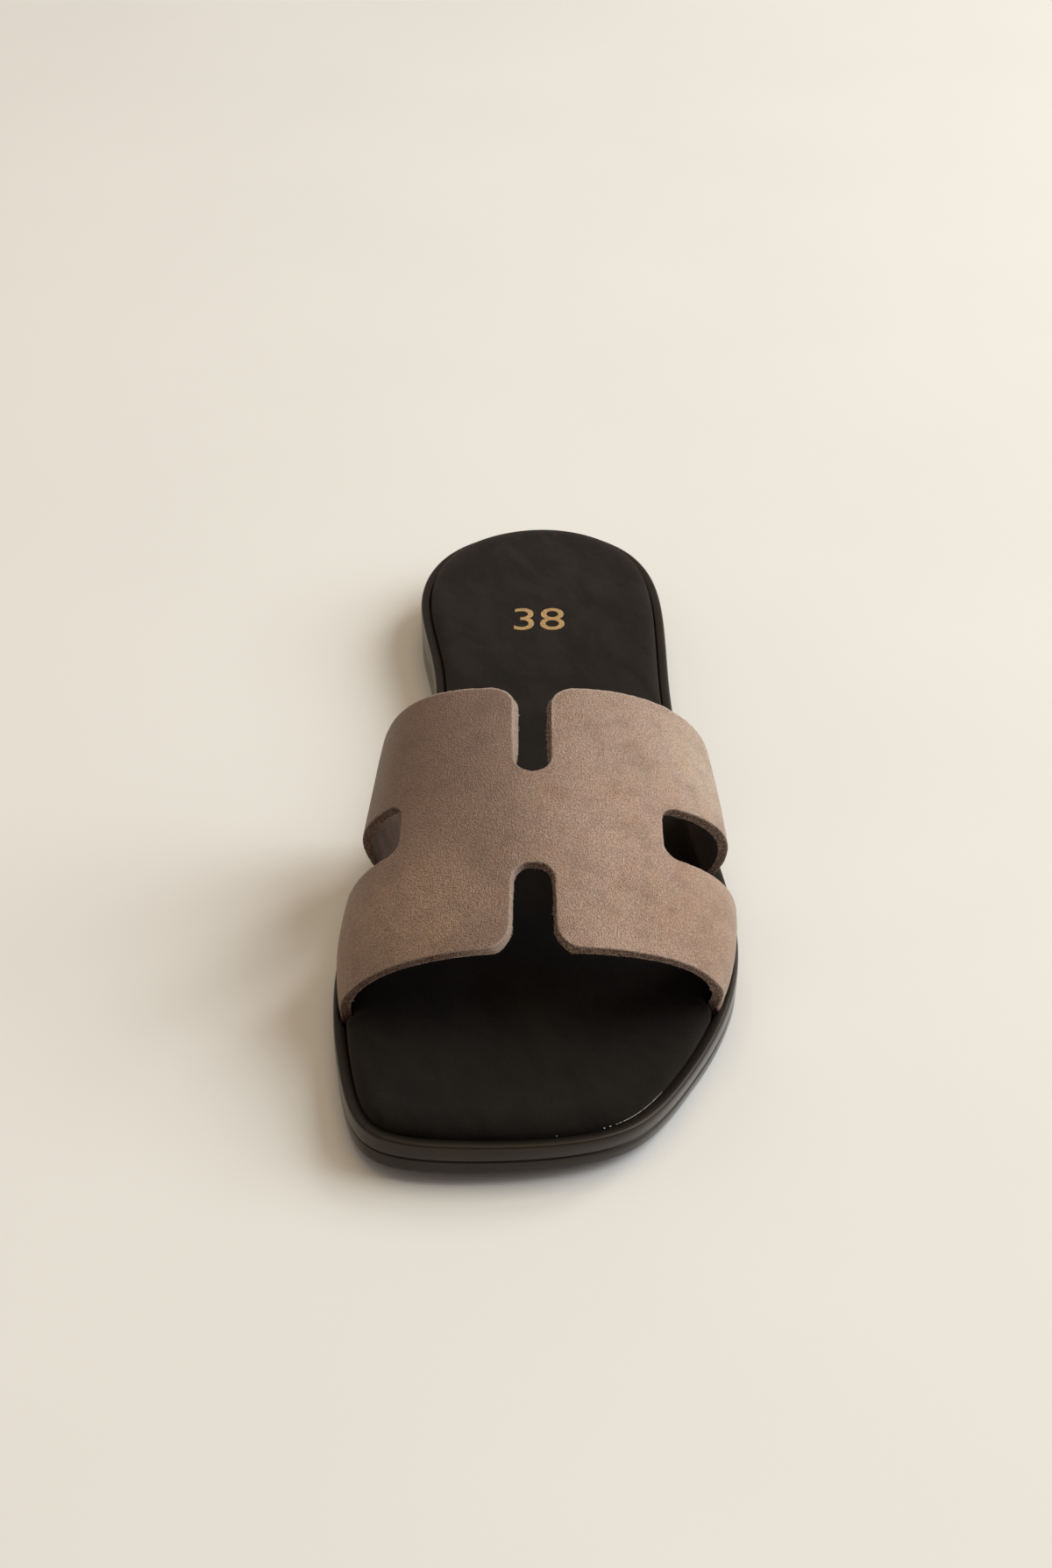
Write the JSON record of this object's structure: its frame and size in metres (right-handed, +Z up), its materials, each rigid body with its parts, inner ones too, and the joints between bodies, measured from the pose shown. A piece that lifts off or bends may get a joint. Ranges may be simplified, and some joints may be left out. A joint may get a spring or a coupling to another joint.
{
  "type": "slide sandal",
  "caption": "Flat left slide sandal: an H-cut leather strap with slots and side notches over a padded insole set in a grooved rubber sole.",
  "frame": {"origin": "middle of the shoe's box, on the plane that the sole stands on", "axes": "+Z up; +Y along the foot towards the heel, so the toe points to -Y; +X to the lateral (little toe) side"},
  "size_m": [0.0916, 0.252, 0.0573],
  "materials": {
    "rubber": "satin black moulded rubber",
    "suede": "black suede with a short nap",
    "leather": "taupe fine-grained leather with raw dark edges"
  },
  "bodies": {
    "root": {"outsole": "rubber", "insole": "suede", "upper": "leather"}
  },
  "joints": []
}
